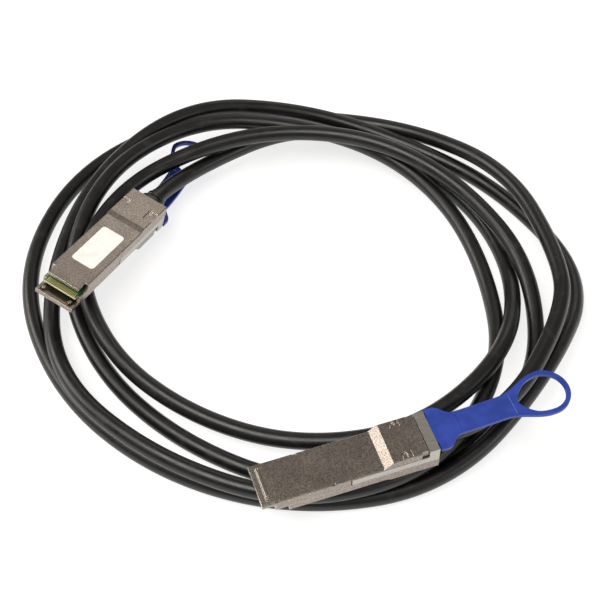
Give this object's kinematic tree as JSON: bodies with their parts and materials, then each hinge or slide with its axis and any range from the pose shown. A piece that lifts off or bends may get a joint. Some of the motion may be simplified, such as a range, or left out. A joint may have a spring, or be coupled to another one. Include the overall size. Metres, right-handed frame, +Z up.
{
  "type": "direct attach copper cable",
  "caption": "High-speed copper cable, loosely coiled, with a metal latching module plug and a blue pull tab at each end.",
  "frame": {"origin": "centre of the base of the box round the two plugs, on the surface that the cable lies on", "axes": "+Z up from the surface; +X across the coil from the plug that shows its label towards the pull tab of the other plug; +Y away from the side where the latch-side-up plug lies"},
  "size_m": [0.2486, 0.2303, 0.0362],
  "materials": {
    "die_cast_metal": "nickel-plated die-cast zinc with a fine grain",
    "stamped_steel": "bright stamped stainless steel",
    "screw_steel": "bright steel",
    "spring_steel": "drawn spring wire",
    "crimp_metal": "tinned crimp ring",
    "circuit_board": "green solder mask on glass fibre",
    "gold_contacts": "gold plating",
    "black_chip": "moulded chip body",
    "potting_glue": "cured potting resin",
    "lead_insulation": "foil-wrapped wire pairs",
    "black_boot": "moulded black strain relief",
    "black_jacket": "satin black cable jacket",
    "blue_plastic": "satin blue moulded plastic",
    "label_paper": "plain white label"
  },
  "bodies": {
    "cable_assembly": {"cable_jacket": "black_jacket", "plug_a_base_shell": "die_cast_metal", "plug_a_cover_shell": "die_cast_metal", "plug_a_cover_screws": "screw_steel", "plug_a_paddle_card": "circuit_board", "plug_a_contact_pads": "gold_contacts", "plug_a_memory_chip": "black_chip", "plug_a_potting_block": "potting_glue", "plug_a_twinax_leads": "lead_insulation", "plug_a_crimp_ferrule": "crimp_metal", "plug_a_return_springs": "spring_steel", "plug_a_strain_relief_boot": "black_boot", "plug_a_label": "label_paper", "plug_b_base_shell": "die_cast_metal", "plug_b_cover_shell": "die_cast_metal", "plug_b_cover_screws": "screw_steel", "plug_b_paddle_card": "circuit_board", "plug_b_contact_pads": "gold_contacts", "plug_b_memory_chip": "black_chip", "plug_b_potting_block": "potting_glue", "plug_b_twinax_leads": "lead_insulation", "plug_b_crimp_ferrule": "crimp_metal", "plug_b_return_springs": "spring_steel", "plug_b_strain_relief_boot": "black_boot", "plug_b_label": "label_paper"},
    "latch_a": {"plug_a_latch_slider": "stamped_steel", "plug_a_pull_tab": "blue_plastic"},
    "latch_b": {"plug_b_latch_slider": "stamped_steel", "plug_b_pull_tab": "blue_plastic"}
  },
  "joints": [
    {"name": "latch_a_pull", "type": "slide", "parent": "cable_assembly", "child": "latch_a", "axis": [0.4608, 0.8667, -0.1908], "range_m": [0, 0.0022], "stiffness_N_per_m": 800},
    {"name": "latch_b_pull", "type": "slide", "parent": "cable_assembly", "child": "latch_b", "axis": [0.9455, 0.3256, 0], "range_m": [0, 0.0022], "stiffness_N_per_m": 800}
  ]
}
